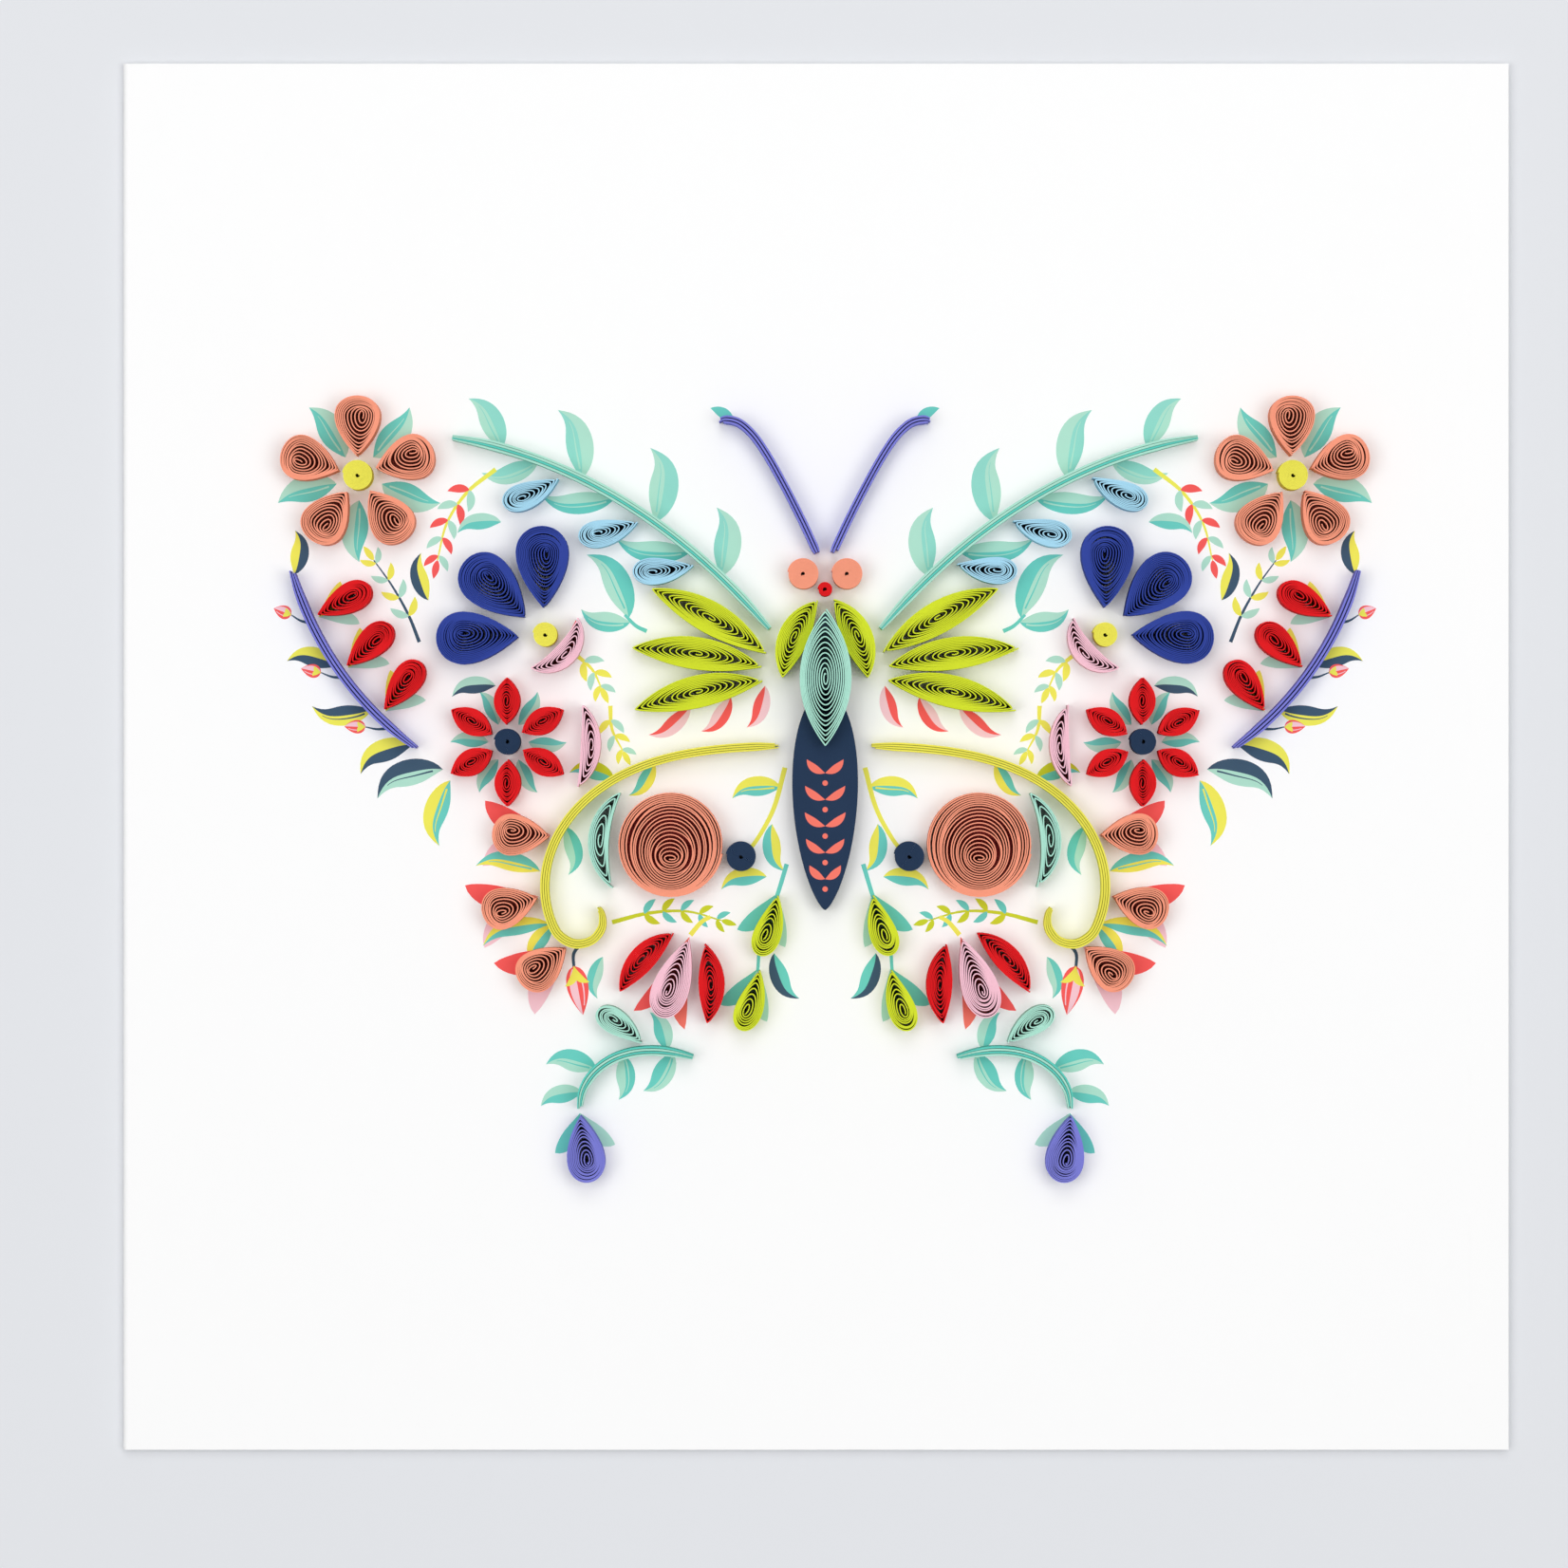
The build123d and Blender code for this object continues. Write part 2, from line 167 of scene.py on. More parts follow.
def measure(outline, form):
    """Place, direction, length, width and bend of a coil, worked out from its corners."""
    count = len(outline)
    step = np.roll(outline, -1, 0) - outline
    course = np.arctan2(step[:, 1], step[:, 0])
    turn = (course - np.roll(course, 1) + pi) % (2 * pi) - pi
    corners = np.roll(outline, -int(np.argmax(turn)), 0)
    start, far = corners[0], corners[count // 2]
    pair = max(count // 4, 1)
    span = hypot(*(far - start))
    along = (far - start) / span
    middle = (corners[pair] + corners[-pair]) / 2 - start
    x, y = middle @ along, middle @ np.array([-along[1], along[0]])
    bend, length, share = 0.0, span, x / span
    if abs(y) > NEAR:
        radius = hypot(span / 2, (x * x - x * span + y * y) / (2 * y))
        bend = -2 * asin(span / 2 / radius) * (1 if y > 0 else -1)
        length = radius * abs(bend)
        share = asin((x - span / 2) / radius) / abs(bend) + 0.5
    width = float(hypot(*(corners[pair] - corners[-pair])) / profile(form, share))
    heading = atan2(along[1], along[0])
    return SimpleNamespace(start=start, heading=heading, length=length, width=width, bend=bend, form=form)


def laid(points, coil):
    """Points of a straight coil, bent and turned to where the coil lies on the card."""
    x, y = points[:, 0], points[:, 1]
    if coil.bend:
        radius = coil.length / coil.bend
        turn = coil.bend * (x / coil.length - 0.5)
        x = radius * (np.sin(turn) + sin(coil.bend / 2)) - y * np.sin(turn)
        y = radius * (cos(coil.bend / 2) - np.cos(turn)) + y * np.cos(turn)
    c, s = cos(coil.heading), sin(coil.heading)
    return np.stack([coil.start[0] + x * c - y * s, coil.start[1] + x * s + y * c], 1)


cup = measure(outlines("right_fan_cup")[0], MARQUISE)
print("the fan's cup:", round(cup.length, 1), "by", round(cup.width, 1), "mm, bent", round(cup.bend, 2))

# %% [markdown]
# ## Winding a strip
#
# The first turns of a coil pack against its rim. In a pinched tip they lie slanted, so each takes up
# more of the coil's length than of its width. Further in the strip has room: its turns stand apart
# and grow blunt, which leaves a row of dark gaps along the middle. The last turns make a small
# bright core, off centre, because the coil settled to one side when it was let go.
#
# A spiral made by shrinking the outline would space all its gaps alike and look printed. Here the
# sides draw in by one rule and the ends by another, and the ends wander a little at random.

# %% The line of a wound strip
PAPER = 0.15
SAMPLES_PER_TURN = 40
FIRST_STEP = 0.03
TIP_SLOPE = {MARQUISE: 2.0, TEARDROP: 1.5}
MOST_PRESSED = 0.8
WIDENING = 1.2
BLUNTING = 1.5
WOBBLES_PER_TURN = 1.3


def walked(line):
    """Distance from the start at each point of a line."""
    return np.concatenate([[0], np.cumsum(np.hypot(*np.diff(line, axis=0).T))])


def wobble(count, knots, dice):
    """Smooth random values between -1 and 1."""
    values = dice.uniform(-1, 1, knots + 3)
    place = np.linspace(0, knots, count)
    knot = np.floor(place).astype(int)
    share = place - knot
    share = share * share * (3 - 2 * share)
    return values[knot] * (1 - share) + values[knot + 1] * share


def drawn_in(coil, power, span, turns, done, core, draw):
    """How far the windings reach towards one end of a coil, while the turns are done from 0 to 1."""
    pinch = 1 / sin(atan2(coil.width / 2 * TIP_SLOPE[coil.form], span)) if power == 1 else 1.0
    pressed = min(turns * PAPER * pinch / span, MOST_PRESSED)
    kernel = min(core / span, 1 - pressed)
    left = 1 - pressed * done - (1 - pressed - kernel) * done**draw
    return span * left - PAPER / 2 * pinch


def wound(coil, dice, packed=0.5, pitch=0.3, lean=0.5, draw=1.3, uneven=0.5, core=0.5, hole=PAPER):
    """Middle line of the strip in a coil. Packed is the share of its half width that its windings
    fill without gaps, and pitch their spacing further in. Draw says how late its ends leave the
    tips, lean how far it settled to one side, and uneven how far its ends wander. Core is how far
    the last turn reaches along the coil, and hole how far it stays from the middle across it."""
    half = coil.width / 2
    tight = packed * half / PAPER
    loose = max((1 - packed) * half - hole, 0.001) / pitch
    turns = tight + loose
    slack = max(half - hole - turns * PAPER, 0)
    count = int(turns * SAMPLES_PER_TURN) + 1
    done = np.linspace(0, 1, count)
    angle = 2 * pi * (turns * done + FIRST_STEP)
    cosine, sine = np.cos(angle), np.sin(angle)

    # Along the coil each end has its own rule, and the two halves of a turn follow one each.
    middle = coil.form[0] / sum(coil.form) * coil.length
    spans = (middle, coil.length - middle)
    ends = [drawn_in(coil, power, span, turns, done, core, draw) for power, span in zip(coil.form, spans)]
    reach = np.where(cosine > 0, *ends)
    play = np.clip(4 * done * (1 - done), 0, 1)
    knots = max(4, int(turns * WOBBLES_PER_TURN))
    reach = reach + uneven * play * wobble(count, knots, dice) * middle / turns / 2

    # Across it a turn starts with the coil's own form and ends as an ellipse.
    along = (middle - cosine * np.where(cosine > 0, *spans)) / coil.length
    blunt = np.clip(BLUNTING * done, 0, 1)
    across = (1 - blunt) * profile(coil.form, along) + blunt * np.abs(sine)
    opened = np.clip((done * turns - tight) / loose, 0, 1) ** WIDENING
    depth = PAPER * (turns * done + 0.5) + slack * opened
    settled = lean * slack * done**WIDENING
    return np.stack([middle - cosine * reach, np.sign(sine) * across * (half - depth) + settled], 1)


line = wound(measure(outlines("right_blossom")[0], TEARDROP), np.random.default_rng(1))
print("a trial petal takes", round(walked(line)[-1]), "mm of strip")

# %% [markdown]
# ## Strips as meshes
#
# A strip is 0.15 mm thick and 3 mm tall. A curve with a bevel would give it a round section, and a
# plane with a Solidify modifier would swell at tight bends. So two edges are offset from its middle
# line, held in at sharp corners, and joined into a ribbon with a top, a bottom and two walls.
#
# Each face also keeps a number that the paper reads later, for how much painted shade it gets: 1 for a
# wall that looks into a gap between windings, 0 for a cut edge, which is painted lighter instead, and a
# value between for a wall that looks outward.

# %% Build standing strips and flat sheets
STRIP_THICK = PAPER * 0.94
LEAST_STRAIGHT = 0.45
# How much painted shade a wall that looks outward gets, between a cut edge and a wall in a gap.
OPEN_WALL_SHADE = 0.4
ROUNDED = 0.3


def edges(line, thick):
    """Both edges of a strip along its middle line, held in where it turns hard."""
    step = np.diff(line, axis=0)
    step /= np.maximum(np.hypot(step[:, 0], step[:, 1]), 1e-9)[:, None]
    before, after = np.vstack([step[:1], step]), np.vstack([step, step[-1:]])
    normal = np.stack([-(before + after)[:, 1], (before + after)[:, 0]], 1)
    normal /= np.maximum(np.hypot(normal[:, 0], normal[:, 1]), 1e-9)[:, None]
    straight = np.clip(normal[:, 0] * -before[:, 1] + normal[:, 1] * before[:, 0], LEAST_STRAIGHT, 1)
    beside = normal * (thick / 2 / straight)[:, None]
    return line + beside, line - beside


def drawn_inward(outline, distance):
    """An anticlockwise outline, drawn in by a distance."""
    return edges(np.vstack([outline[-1:], outline, outline[:1]]), 2 * distance)[0][1:-1]


class Stock:
    """Corners and faces of one piece while it is being built, in millimetres."""

    def __init__(self):
        self.points = []
        self.faces = []
        self.painted_shade = []
        self.count = 0

    def strip(self, line, low, high, thick=STRIP_THICK, open_left=0, open_right=0):
        """Adds a strip that stands on its edge. High and thick are numbers, or have one for each point.
        The last two say along how many points its left and right walls look outward, and so get less
        painted shade than walls in a gap."""
        left, right = edges(line, thick)
        count = len(line)
        tops = np.broadcast_to(high, count)
        floor = np.full(count, low)
        rows = ((left, tops), (right, tops), (right, floor), (left, floor))
        base, last = self.count, self.count + 4 * (count - 1)
        self.points.append(np.stack([np.column_stack(row) for row in rows], 1).reshape(-1, 3))
        self.count += 4 * count
        for k in range(base, last, 4):
            for a, b in ((0, 1), (1, 2), (2, 3), (3, 0)):
                self.faces.append((k + a, k + 4 + a, k + 4 + b, k + b))
        self.faces += [(base, base + 1, base + 2, base + 3), (last + 3, last + 2, last + 1, last)]
        # Painted shade of each face: in full on walls in a gap, less on walls that look outward, none on
        # cut edges.
        shares = np.zeros((count - 1, 4))
        shares[:, (1, 3)] = 1
        shares[:open_right, 1] = OPEN_WALL_SHADE
        shares[:open_left, 3] = OPEN_WALL_SHADE
        self.painted_shade += [*shares.ravel(), 0, 0]

    def slab(self, outline, low, high, inset=0.0):
        """Adds a flat sheet with an anticlockwise outline. Inset rounds its top edge."""
        count = len(outline)
        rings = [(outline, low), (outline, high - inset)]
        if inset:
            inner = drawn_inward(outline, inset)
            rings += [(outline + (inner - outline) * ROUNDED, high - inset * ROUNDED), (inner, high)]
        base = self.count
        for ring, level in rings:
            self.points.append(np.column_stack([ring, np.full(count, level)]))
            self.count += count
        for row in range(base, self.count - count, count):
            for k in range(count):
                after = (k + 1) % count
                self.faces.append((row + k, row + after, row + count + after, row + count + k))
        self.faces.append(tuple(range(base + count - 1, base - 1, -1)))
        self.faces.append(tuple(range(self.count - count, self.count)))
        self.painted_shade += [0] * (len(self.faces) - len(self.painted_shade))


trial = Stock()
trial.strip(line, 0, 3)
print("the trial petal's strip has", len(trial.faces), "faces")

# %% [markdown]
# A mesh becomes a piece of the model when it rides on a body, takes its material, and hides the nodes it
# stands for. The whole card is one body, so everything rides on it.

# %% Make a piece
SHARP_ANGLE = radians(35)


def placed(name, data):
    """A new object in the scene."""
    made = bpy.data.objects.new(name, data)
    bpy.context.scene.collection.objects.link(made)
    return made


def make_piece(name, stock, slot, *replaced, look=None):
    """Makes the object, rides it on the card and hides the nodes it stands for. Its material is the paper
    of its slot, unless it has a look of its own."""
    mesh = bpy.data.meshes.new(name)
    mesh.from_pydata((np.vstack(stock.points) * MM).tolist(), [], stock.faces)
    mesh.polygons.foreach_set("use_smooth", [True] * len(mesh.polygons))
    mesh.set_sharp_from_angle(angle=SHARP_ANGLE)
    # The share of painted shade of each face goes to the paper as an attribute.
    if any(stock.painted_shade):
        mesh.attributes.new("painted_shade", "FLOAT", "FACE").data.foreach_set("value", stock.painted_shade)
    mesh.materials.append(look or papers[slot])
    made = placed(name, mesh)
    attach(made, "root")
    if replaced:
        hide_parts(*replaced)


# %% [markdown]
# ## Shader sums as Python
#
# Paper has faint clouds from the dye and a fine tooth from its fibres, which are sums of noise
# textures. Wiring Math nodes by hand hides the sum, so one small class wraps a socket and lets
# Python's own operators add the nodes.

# %% A socket that can be added and multiplied
class Shade:
    """A socket in a material's tree. A sum of sockets and numbers adds its Math nodes."""

    def __init__(self, tree, socket=None):
        self.tree = tree
        self.socket = socket

    def node(self, kind, settings, inputs, output=0):
        """Any shader node. Its settings are set first, and then its sockets get values or links."""
        made = self.tree.nodes.new("ShaderNode" + kind)
        for name, value in settings.items():
            setattr(made, name, value)
        for name, value in inputs.items():
            if isinstance(value, Shade):
                self.tree.links.new(value.socket, made.inputs[name])
            else:
                made.inputs[name].default_value = value
        return Shade(self.tree, made.outputs[output]) if made.outputs else made

    def math(self, operation, first, second):
        return self.node("Math", {"operation": operation}, {0: first, 1: second})

    def __add__(self, other):
        return self.math("ADD", self, other)

    __radd__ = __add__

    def __sub__(self, other):
        return self.math("SUBTRACT", self, other)

    def __rsub__(self, other):
        return self.math("SUBTRACT", other, self)

    def __mul__(self, other):
        return self.math("MULTIPLY", self, other)

    __rmul__ = __mul__


def linear(red, green, blue):
    """A colour as it looks on screen, from 0 to 255, as the renderer's linear light."""
    shares = [value / 255 for value in (red, green, blue)]
    return [s / 12.92 if s <= 0.04045 else ((s + 0.055) / 1.055) ** 2.4 for s in shares] + [1.0]


def mixed(first, second, share):
    """A colour between two colours."""
    return [a * (1 - share) + b * share for a, b in zip(first, second)]


print("middle grey is", round(linear(128, 128, 128)[0], 2), "of white in linear light")

# %% [markdown]
# ## Coloured paper
#
# The strips are dyed right through, matt, and a little uneven. A glossy or perfectly even shader would
# read as plastic, so the colour wanders between a darker and a paler tone, and a fine bump stands for the
# fibres. Cut edges are painted in the palest tone, as painted light, and walls in a gap in the darkest,
# as painted shade. With one tone for both, light that bounces between the windings would fill the gaps
# with bright colour.

# %% The paper material
CLOUD_SIZE = 5.0
FIBRE_SIZE = 0.14
FIBRE_HEIGHT = 0.03
PALER = 0.01
MATT = {"Roughness": 0.86, "Specular IOR Level": 0.07}


def paper(name, colour, depth=0.45, clouds=0.35, fibres=0.45, edge=0.7, tooth=0.25):
    """Matt dyed paper. Depth is how far its darker tone is from its paler one, and edge how much painted
    shade a wall in a gap gets and how much painted light a cut edge gets."""
    made = bpy.data.materials.new(name)
    made.use_nodes = True
    made.node_tree.nodes.clear()
    shade = Shade(made.node_tree)
    place = shade.node("TexCoord", {}, {}, "Object")
    cloud = shade.node("TexNoise", {}, {"Vector": place, "Scale": 1 / (CLOUD_SIZE * MM), "Detail": 3.0})
    fibre = shade.node(
        "TexNoise", {},
        {"Vector": place, "Scale": 1 / (FIBRE_SIZE * MM), "Detail": 5.0, "Roughness": 0.7},
    )
    # Painted light and shade: a wall in a gap is painted darker and a cut edge lighter, by the number
    # each face keeps, on top of the random clouds and fibres.
    gap = shade.node("Attribute", {"attribute_name": "painted_shade"}, {}, "Fac")
    tone = 0.5 + (cloud - 0.5) * clouds + (fibre - 0.5) * fibres + (0.5 - gap) * edge
    dark = mixed(colour, [0, 0, 0, 1], depth)
    pale = mixed(colour, [1, 1, 1, 1], depth * PALER)
    tint = shade.node("Mix", {"data_type": "RGBA", "clamp_factor": True}, {0: tone, 6: dark, 7: pale}, 2)
    relief = shade.node("Bump", {}, {"Strength": tooth, "Distance": FIBRE_HEIGHT * MM, "Height": fibre})
    surface = shade.node("BsdfPrincipled", {}, {"Base Color": tint, "Normal": relief, **MATT})
    shade.node("OutputMaterial", {}, {"Surface": surface})
    return made


COLOURS = {
    "coral": (254, 160, 130),
    "red": (230, 24, 30),
    "blue": (50, 70, 160),
    "periwinkle": (126, 128, 218),
    "pink": (254, 200, 216),
    "mint": (176, 232, 213),
    "teal": (96, 208, 192),
    "sky": (170, 222, 246),
    "lime": (216, 230, 46),
    "yellow": (242, 234, 86),
    "navy": (36, 56, 84),
}
CARD_WHITE = (252, 252, 252)
papers = {name + "_paper": paper(name + "_paper_look", linear(*rgb)) for name, rgb in COLOURS.items()}
papers["card_white"] = paper("card_white_stock", linear(*CARD_WHITE), 0.02, 0.3, 0.3, edge=0, tooth=0.1)
print(len(papers), "papers, with the card's")

# %% [markdown]
# ## Roll the coils
#
# Each coil lists its form and how its strip lies, where that differs from most coils. Slim coils are
# packed almost to their middle, and wide ones let go further out, so their gaps open up. The strip
# gets thinner towards the core, which keeps a dark line between close windings. Its top drifts by a
# few hundredths of a millimetre, because nobody cuts or sets paper quite level. Random numbers with
# a fixed seed make each roll differ, but not each run.

# %% Coils
COILS = {
    # part: form, packed share, other options of the winding
    "thorax": (MARQUISE, 0.22, {"pitch": 0.24, "draw": 1.1, "lean": 0.0, "uneven": 0.3}),
    "shoulder_lobe": (MARQUISE, 0.68, {"draw": 1.15}),
    "laurel": (TEARDROP, 0.66, {"draw": 1.0}),
    "blossom": (TEARDROP, 0.3, {"pitch": 0.34}),
    "blue_fan": (TEARDROP, 0.38, {"pitch": 0.27}),
    "fan_cup": (MARQUISE, 0.7, {}),
    "lime_feathers": (MARQUISE, 0.75, {"draw": 1.1}),
    "star": (MARQUISE, 0.68, {"draw": 1.15}),
    "star_moon": (MARQUISE, 0.7, {}),
    "margin_drops": (TEARDROP, 0.6, {"draw": 1.1}),
    "eyespot": (ROUND, 0.17, {"pitch": 0.34, "lean": 0.6, "uneven": 2.0}),
    "eyespot_moon": (MARQUISE, 0.5, {}),
    "margin_petals": (TEARDROP, 0.3, {"pitch": 0.33}),
    "tulip_heart": (TEARDROP, 0.6, {}),
    "tulip_sides": (MARQUISE, 0.72, {"draw": 1.1}),
    "inner_drops": (TEARDROP, 0.5, {}),
    "tail_drop": (TEARDROP, 0.55, {}),
    "tail_leaf": (TEARDROP, 0.6, {}),
}
LEANS = [-0.6, 0.6]
THINNED = (0.97, 0.78)
LEVEL_DRIFT = 0.05
dice = np.random.default_rng(7)


def drifting(high, line):
    """Height of a rolled strip's top along it."""
    return high - LEVEL_DRIFT * (1 + wobble(len(line), len(line) // SAMPLES_PER_TURN, dice)) / 2


wound_length = 0.0
for part, (form, packed, options) in COILS.items():
    for node in sides(part):
        low, high = heights(node)
        stock = Stock()
        for outline in outlines(node):
            coil = measure(outline, form)
            lean = dice.choice(LEANS)
            line = laid(wound(coil, dice, packed, **{"lean": lean, **options}), coil)
            thick = PAPER * np.linspace(*THINNED, len(line))
            # The outer wall of the first turn looks outward and gets less painted shade.
            stock.strip(line, low, drifting(high, line), thick, open_left=SAMPLES_PER_TURN)
            wound_length += walked(line)[-1]
        make_piece(node + "_strip", stock, slot_of[node], node)
print("strips rolled:", round(wound_length / 1000, 1), "metres")

# %% [markdown]
# ## Tight coils
#
# Eyes, beads and flower hearts are rolled without letting go: discs whose windings touch, round the
# pin-hole of the rolling tool. They are wound like the loose coils, with as many turns as fit.

# %% Beads
BEADS = ("head", "eye", "blossom_heart", "fan_bead", "star_heart", "eyespot_bead")
PIN_HOLE = 0.28
for part in BEADS:
    for node in sides(part):
        low, high = heights(node)
        stock = Stock()
        for outline in outlines(node):
            centre = outline.mean(0)
            radius = np.hypot(*(outline - centre).T).max()
            size = {"length": 2 * radius, "width": 2 * radius, "bend": 0.0}
            coil = SimpleNamespace(start=centre - (radius, 0), heading=0.0, form=ROUND, **size)
            rolled = {"packed": 1 - PIN_HOLE / radius, "core": PIN_HOLE, "hole": PIN_HOLE}
            line = laid(wound(coil, dice, lean=0.0, uneven=0.0, **rolled), coil)
            # The outer wall of the first turn looks outward and gets less painted shade.
            stock.strip(line, low, drifting(high, line), open_left=SAMPLES_PER_TURN)
        make_piece(node + "_strip", stock, slot_of[node], node)
print(len(BEADS), "kinds of bead")

# %% [markdown]
# ## Lines along a stem
#
# The solid of a stem is one band, and its two long sides are opposite halves of its outline. The
# pairing that gives the most even width gives its middle line, and a smooth curve through that
# hides how few points the solid has.

# %% Middle lines
def middle_line(outline, foot):
    """The middle line of a band, from the end that is nearest to foot, and the band's width."""
    count = len(outline) // 2
    best = None
    for k in range(count):
        left = np.roll(outline, -k, 0)[:count]
        right = np.roll(outline, -k, 0)[count:][::-1]
        widths = np.hypot(*(left - right).T)
        if best is None or widths.std() < best[0]:
            best = (widths.std(), (left + right) / 2, widths.mean())
    line = best[1]
    if hypot(*(line[-1] - foot)) < hypot(*(line[0] - foot)):
        line = line[::-1]
    return line, best[2]


def smooth(line, samples=8):
    """A Catmull-Rom curve through the points of a line."""
    padded = np.vstack([2 * line[0] - line[1], line, 2 * line[-1] - line[-2]])
    made = []
    for k in range(len(line) - 1):
        a, b, c, d = padded[k:k + 4]
        t = np.linspace(0, 1, samples, endpoint=False)[:, None]
        bow, twist = 2 * a - 5 * b + 4 * c - d, 3 * b - a - 3 * c + d
        made.append(0.5 * (2 * b + (c - a) * t + bow * t**2 + twist * t**3))
    return np.vstack([*made, line[-1:]])


line, width = middle_line(outlines("right_vine")[0], (axis, 0))
print("the vine is", round(width, 2), "mm wide and has", len(line), "points")

# %% [markdown]
# ## Stems
#
# A stem is several strips glued flat against each other and set on edge along a curve. Its plies
# end one after another, each a little higher or lower than the next. Each ply runs beside the middle
# line at its own distance and fills only a share of its place, or no line would show between two.

# %% Stems of several plies
STEMS = {
    # part: colours from its left to its right ply, share of its place that a ply fills, taper
    "antenna": (["periwinkle"] * 3, 0.64, 1.0),
    "leading_stem": (["mint", "mint", "teal", "mint"], 0.84, 5.0),
    "margin_stem": (["periwinkle"] * 3, 0.64, 4.0),
    "vine": (["yellow"] * 4, 0.78, 3.0),
    "tail_stem": (["teal", "mint", "teal", "mint"], 0.78, 3.5),
}
NARROWEST = 0.35
TAPER_POWER = 0.7
MOST_SHORT = 0.5
MOST_LOW = 0.18
PLY_KNOTS = 6
stem_lines = {}
for part, (plies, filled, taper) in STEMS.items():
    for node in sides(part):
        low, high = heights(node)
        line, width = middle_line(outlines(node)[0], (axis, 0))
        stem_lines[node] = line = smooth(line)
        place = walked(line)
        from_end = np.minimum(place, place[-1] - place)
        narrow = NARROWEST + (1 - NARROWEST) * np.clip(from_end / taper, 0, 1) ** TAPER_POWER
        pitch = width / len(plies)
        stocks = {name: Stock() for name in sorted(set(plies))}
        for k, name in enumerate(plies):
            offset = (k - (len(plies) - 1) / 2) * pitch * (1 if node.startswith("left") else -1)
            short = dice.uniform(0, MOST_SHORT, 2)
            kept = (place >= short[0]) & (place <= place[-1] - short[1])
            ply = edges(line, 2 * offset * narrow)[0][kept]
            level = high - LEVEL_DRIFT * (1 + wobble(len(ply), PLY_KNOTS, dice))
            level = level - MOST_LOW * dice.uniform()
            thick = (pitch * filled * narrow)[kept]
            # Only the outermost plies have a wall that looks outward, which gets less painted shade.
            outer = len(ply) if k in (0, len(plies) - 1) else 0
            stocks[name].strip(ply, low, level, thick, outer * (offset > 0), outer * (offset < 0))
        for name, stock in stocks.items():
            make_piece(f"{node}_{name}_plies", stock, name + "_paper", node)
print(len(stem_lines), "stems, the vine", round(walked(stem_lines["right_vine"])[-1]), "mm long")

# %% [markdown]
# ## The abdomen
#
# Unlike the coils, the abdomen is a little box: navy strips stand round its outline, one inside the
# other, and a flat navy sheet with a soft cut edge closes it. The outline is the same formula with a
# blunt end, drawn with many more points than the solid has.

# %% Abdomen wall and cover
WALL_DEPTHS = (0.08, 0.24, 0.4)
COVER_EDGE = 0.06
OUTLINE_POINTS = 96


def form_outline(coil):
    """The smooth outline of a form, anticlockwise."""
    angle = np.linspace(0, 2 * pi, OUTLINE_POINTS, endpoint=False)
    share = (1 - np.cos(angle)) / 2
    y = -np.sign(np.sin(angle)) * profile(coil.form, share) * coil.width / 2
    return laid(np.stack([share * coil.length, y], 1), coil)


abdomen = measure(outlines("abdomen_cap")[0], OVAL)
wall, cover = Stock(), Stock()
for depth in WALL_DEPTHS:
    ring = drawn_inward(form_outline(abdomen), depth)
    ring = np.vstack([ring, ring[:2]])
    wall.strip(ring, *heights("abdomen_wall"), open_right=len(ring))
cover.slab(form_outline(abdomen), *heights("abdomen_cap"), inset=COVER_EDGE)
make_piece("abdomen_wall_strips", wall, "navy_paper", "abdomen_wall")
make_piece("abdomen_cover", cover, "navy_paper", "abdomen_cap")
print("abdomen", round(abdomen.length, 1), "by", round(abdomen.width, 1), "mm")

# %% [markdown]
# ## The card
#
# The card is one sheet of white stock, folded at its left edge and closed. A thin box would have
# neither leaf nor fold. So its real section, with slightly broken cut edges and a round fold, is
# drawn once and run along the fold. The model's corners at the open edge tell how thick the stock is
# and how far apart the leaves are.

# %% Folded card
BREAK = 0.06
FOLD_POINTS = 17
CARD_ROWS = 9
card_points = np.array([corner.co for corner in frame["nodes"]["card"].data.vertices]) / MM
card_low, card_high = card_points.min(0), card_points.max(0)
at_edge = card_points[card_points[:, 0] > card_high[0] - NEAR]
levels = np.unique(np.round(at_edge[:, 2], 2))
stock_thick, gap_top = levels[1] - levels[0], levels[2]
fold_radius = card_high[2] / 2


def fold(radius, turn):
    """Half circle of the fold, seen along it, drawn up or down."""
    angle = np.linspace(-turn / 2, turn / 2, FOLD_POINTS)
    return [(card_low[0] + fold_radius - radius * cos(a), fold_radius + radius * sin(a)) for a in angle]


right = card_high[0]
section = [(right - BREAK, 0), *fold(fold_radius, pi), (right - BREAK, card_high[2])]
section += [(right, card_high[2] - BREAK), (right, gap_top + BREAK), (right - BREAK, gap_top)]
section += [*fold(gap_top - fold_radius, -pi), (right - BREAK, stock_thick)]
section += [(right, stock_thick - BREAK), (right, BREAK)]
count = len(section)
rows = np.linspace(card_low[1], card_high[1], CARD_ROWS)
card = Stock()
card.points = [np.array([(x, y, z) for y in rows for x, z in section])]
card.faces = [tuple(range(count)), tuple(range(CARD_ROWS * count - 1, (CARD_ROWS - 1) * count - 1, -1))]
for first in range(0, (CARD_ROWS - 1) * count, count):
    for k in range(count):
        after = (k + 1) % count
        card.faces.append((first + k, first + count + k, first + count + after, first + after))
make_piece("folded_card", card, "card_white", "card")
print("card stock of", round(stock_thick, 2), "mm, closed to", round(card_high[2], 2), "mm")

# %% [markdown]
# ## Inks
#
# Between the coils the card is printed with leaves, buds and thin stalks. An image could do that,
# but it would blur close up. Fields of ink are simple shapes with crisp edges, so each one is a thin
# sheet that lies on the card. Ink has the card's tooth and soft clouds of tone, so its look is a
# paper with other numbers.

